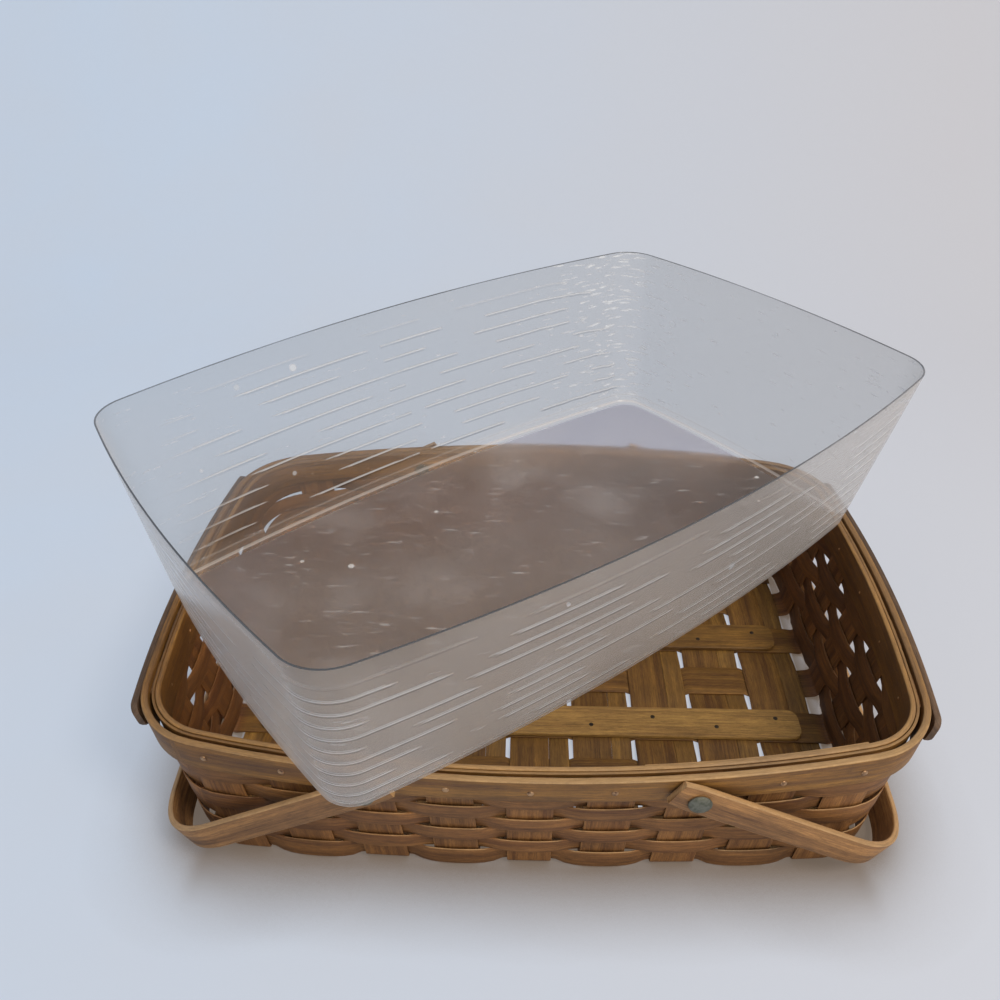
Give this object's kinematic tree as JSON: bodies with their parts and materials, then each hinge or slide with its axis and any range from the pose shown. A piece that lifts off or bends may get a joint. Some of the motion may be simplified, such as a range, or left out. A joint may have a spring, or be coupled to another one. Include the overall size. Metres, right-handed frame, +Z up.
{
  "type": "gathering basket",
  "caption": "Shallow hand-woven wood-splint gathering basket with nailed rim bands, two bentwood swing handles and a clear lift-out plastic liner lying across its rim.",
  "frame": {"origin": "middle of the basket's underside, on the surface that it stands on", "axes": "+X along the basket's length to the right, +Y to the back, +Z up; the front long side faces -Y"},
  "size_m": [0.4924, 0.4684, 0.2235],
  "materials": {
    "maple_splint": "stained wood splint, satin, open grain",
    "floor_maple": "lighter golden wood splint, satin",
    "rim_maple": "stained wood band, satin",
    "bent_maple": "stained steam-bent wood, satin, greyed with age",
    "rivet_steel": "dulled dark metal",
    "clear_plastic": "clear thermoformed plastic, slightly hazed"
  },
  "bodies": {
    "basket": {"crosswise_upright_1": "maple_splint", "crosswise_upright_2": "maple_splint", "crosswise_upright_3": "maple_splint", "crosswise_upright_4": "maple_splint", "crosswise_upright_5": "maple_splint", "crosswise_upright_6": "maple_splint", "crosswise_upright_7": "maple_splint", "crosswise_upright_8": "maple_splint", "crosswise_upright_9": "maple_splint", "lengthwise_upright_1": "maple_splint", "lengthwise_upright_2": "maple_splint", "lengthwise_upright_3": "maple_splint", "lengthwise_upright_4": "maple_splint", "lengthwise_upright_5": "maple_splint", "floor_filler_1": "floor_maple", "floor_filler_2": "floor_maple", "floor_filler_3": "floor_maple", "floor_filler_4": "floor_maple", "floor_filler_5": "floor_maple", "floor_filler_6": "floor_maple", "floor_filler_7": "floor_maple", "floor_filler_8": "floor_maple", "floor_filler_9": "floor_maple", "floor_filler_10": "floor_maple", "floor_edge_splint_near": "maple_splint", "floor_edge_splint_far": "maple_splint", "weaver_row_1": "maple_splint", "weaver_row_2": "maple_splint", "weaver_row_3": "maple_splint", "weaver_row_4": "maple_splint", "weaver_row_5": "maple_splint", "weaver_row_6": "maple_splint", "rim_outer_band": "rim_maple", "rim_filler_strip": "rim_maple", "rim_inner_band": "rim_maple", "end_slat_right": "bent_maple", "end_slat_left": "bent_maple", "floor_slat_near": "floor_maple", "floor_slat_far": "floor_maple", "handle_rivet_front_right": "rivet_steel", "handle_rivet_back_right": "rivet_steel", "handle_rivet_front_left": "rivet_steel", "handle_rivet_back_left": "rivet_steel", "rivet_burr_front_right": "rivet_steel", "rivet_burr_back_right": "rivet_steel", "rivet_burr_front_left": "rivet_steel", "rivet_burr_back_left": "rivet_steel"},
    "right_handle": {"handle_right": "bent_maple"},
    "left_handle": {"handle_left": "bent_maple"},
    "liner": {"liner": "clear_plastic"}
  },
  "joints": [
    {"name": "right_handle_swing", "type": "hinge", "parent": "basket", "child": "right_handle", "pos_m": [0.08729, 0, 0.08375], "axis": [0, -1, 0], "range_deg": [0, 34]},
    {"name": "left_handle_swing", "type": "hinge", "parent": "basket", "child": "left_handle", "pos_m": [-0.08729, 0, 0.08375], "axis": [0, 1, 0], "range_deg": [0, 39]},
    {"name": "liner_lift", "type": "slide", "parent": "basket", "child": "liner", "axis": [0, 0, 1], "range_m": [0, 0.25]}
  ]
}
